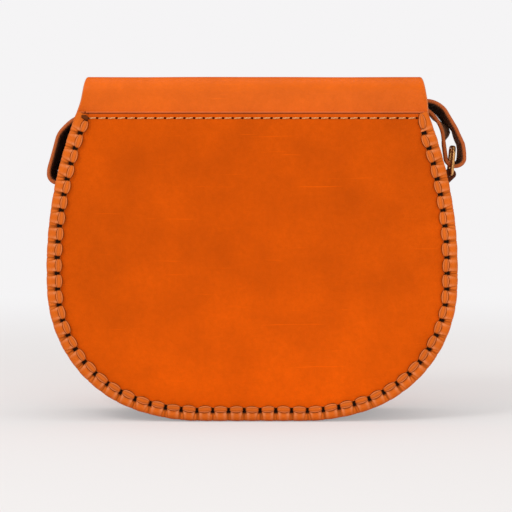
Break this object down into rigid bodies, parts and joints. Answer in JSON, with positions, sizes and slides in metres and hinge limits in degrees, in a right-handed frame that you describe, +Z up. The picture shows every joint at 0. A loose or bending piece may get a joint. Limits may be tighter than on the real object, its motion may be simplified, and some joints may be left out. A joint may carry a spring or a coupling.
{
  "type": "saddle handbag",
  "caption": "Leather saddle bag standing on its laced rims, with a gusset, a fold-over flap that opens, oblong rings and a buckled strap whose length is tucked inside.",
  "frame": {"origin": "on the ground, under the middle of the whole part's box", "axes": "+Z up, +X to the right of the bag seen from its back, -Y out of the back panel, +Y out of the flap's front"},
  "size_m": [0.2546, 0.083, 0.2072],
  "materials": {
    "panel_leather": "waxed, fine grain",
    "flap_leather": "waxed, fine grain",
    "rim_leather": "waxed, puckered",
    "lace_leather": "burnished flat lace",
    "dark_leather": "matt, open grain",
    "strap_leather": "waxed, raw flesh side",
    "thread": "waxed thread",
    "brass": "satin, slightly aged"
  },
  "bodies": {
    "bag": {"back_panel": "panel_leather", "front_panel": "panel_leather", "gusset": "dark_leather", "gusset_back_flange": "dark_leather", "gusset_front_flange": "dark_leather", "back_binding": "rim_leather", "front_binding": "rim_leather", "back_lacing": "lace_leather", "front_lacing": "lace_leather", "flap_anchor": "flap_leather", "flap_seam_thread": "thread", "tab_left": "dark_leather", "tab_right": "dark_leather", "tab_rivet_left": "brass", "tab_rivet_right": "brass", "strap_short": "strap_leather", "strap_long": "strap_leather", "strap_rivet_left": "brass", "strap_rivet_right": "brass", "buckle_frame": "brass", "buckle_rivet": "brass", "strap_keeper": "strap_leather", "snap_stud": "brass", "snap_back": "brass"},
    "flap_top": {"flap_top": "flap_leather"},
    "flap_front": {"flap_front": "flap_leather", "snap_cap": "brass", "snap_socket": "brass"},
    "ring_left": {"ring_left": "brass"},
    "ring_right": {"ring_right": "brass"},
    "buckle_prong": {"buckle_prong": "brass"}
  },
  "joints": [
    {"name": "flap_hinge", "type": "hinge", "parent": "bag", "child": "flap_top", "pos_m": [-0.00232, -0.03475, 0.1915], "axis": [1, 0, 0], "range_deg": [0, 100]},
    {"name": "flap_fold", "type": "hinge", "parent": "flap_top", "child": "flap_front", "pos_m": [-0.00232, 0.03567, 0.19465], "axis": [1, 0, 0], "range_deg": [0, 80]},
    {"name": "ring_left_swing", "type": "hinge", "parent": "bag", "child": "ring_left", "pos_m": [-0.11632, -0.00255, 0.1338], "axis": [0, 1, 0], "range_deg": [-4, 4]},
    {"name": "ring_right_swing", "type": "hinge", "parent": "bag", "child": "ring_right", "pos_m": [0.11928, -0.00255, 0.1486], "axis": [0, 1, 0], "range_deg": [-6, 6]},
    {"name": "buckle_prong_hinge", "type": "hinge", "parent": "bag", "child": "buckle_prong", "pos_m": [-0.00632, -0.00255, 0.01735], "axis": [0, -1, 0], "range_deg": [0, 6]}
  ]
}
